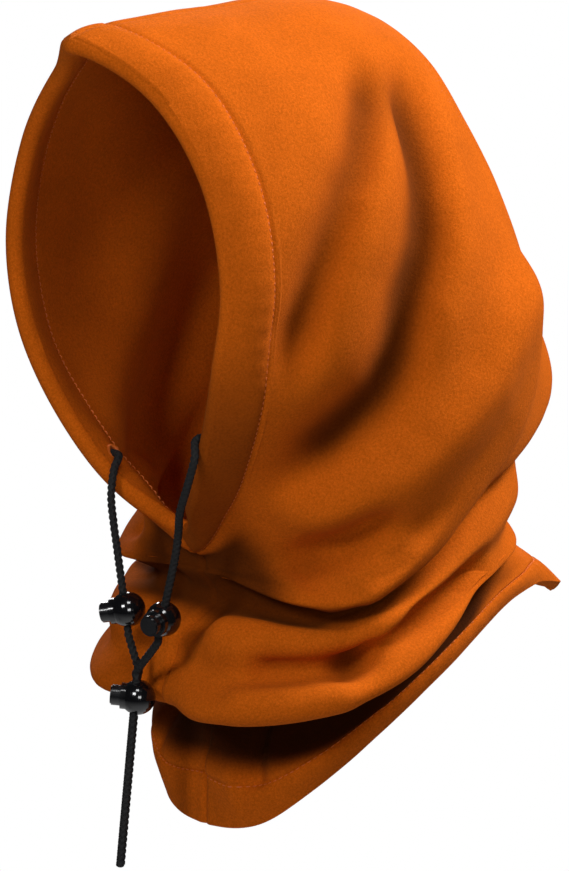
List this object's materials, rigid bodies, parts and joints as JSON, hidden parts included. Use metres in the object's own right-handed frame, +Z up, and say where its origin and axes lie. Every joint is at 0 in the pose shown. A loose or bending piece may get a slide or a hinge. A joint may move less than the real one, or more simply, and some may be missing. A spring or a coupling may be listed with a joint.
{
  "type": "drawcord fleece balaclava",
  "caption": "Fleece hood balaclava with a drawcord casing round the face opening, a folded neck, a skirted hem and push-button cord locks.",
  "frame": {"origin": "the top of the wearer's head, just under the cloth of the crown, on the centre line", "axes": "+Z up; the wearer faces -Y; the wearer's left is +X"},
  "size_m": [0.206, 0.29, 0.3893],
  "materials": {
    "fleece": "brushed fleece, matt",
    "edging": "brushed fleece, doubled and stitched",
    "thread": "satin-stitched thread",
    "cord": "round braid, matt",
    "lock_plastic": "moulded, glossy",
    "button_plastic": "moulded, glossy",
    "spring_steel": "drawn wire"
  },
  "bodies": {
    "garment": {"hood_left_panel": "fleece", "hood_right_panel": "fleece", "neck_left_panel": "fleece", "neck_right_panel": "fleece", "face_casing": "edging", "bottom_hem": "edging", "eyelet_left": "thread", "eyelet_right": "thread", "drawcord_in_casing": "cord", "drawcord_left_end": "cord", "drawcord_right_end": "cord"},
    "left_lock": {"left_lock_barrel": "lock_plastic", "left_lock_spring": "spring_steel"},
    "left_lock_button": {"left_lock_button": "button_plastic"},
    "right_lock": {"right_lock_barrel": "lock_plastic", "right_lock_spring": "spring_steel"},
    "right_lock_button": {"right_lock_button": "button_plastic"},
    "joint_lock": {"joint_lock_barrel": "lock_plastic", "joint_lock_spring": "spring_steel"},
    "joint_lock_button": {"joint_lock_button": "button_plastic"}
  },
  "joints": [
    {"name": "left_lock_slide", "type": "slide", "parent": "garment", "child": "left_lock", "axis": [0.3011, 0, 0.9536], "range_m": [0, 0.028]},
    {"name": "right_lock_slide", "type": "slide", "parent": "garment", "child": "right_lock", "axis": [-0.206, 0, 0.9785], "range_m": [0, 0.028]},
    {"name": "joint_lock_slide", "type": "slide", "parent": "garment", "child": "joint_lock", "axis": [-0.0133, -0.1061, -0.9943], "range_m": [0, 0.06]},
    {"name": "left_lock_button_press", "type": "slide", "parent": "left_lock", "child": "left_lock_button", "axis": [-0.2998, 0.9493, 0.0947], "range_m": [0, 0.0024], "stiffness_N_per_m": 800, "deforming": ["left_lock_spring"]},
    {"name": "right_lock_button_press", "type": "slide", "parent": "right_lock", "child": "right_lock_button", "axis": [0.7856, 0.5962, 0.1654], "range_m": [0, 0.0024], "stiffness_N_per_m": 800, "deforming": ["right_lock_spring"]},
    {"name": "joint_lock_button_press", "type": "slide", "parent": "joint_lock", "child": "joint_lock_button", "axis": [0.7085, 0.7007, -0.0842], "range_m": [0, 0.0024], "stiffness_N_per_m": 800, "deforming": ["joint_lock_spring"]}
  ]
}
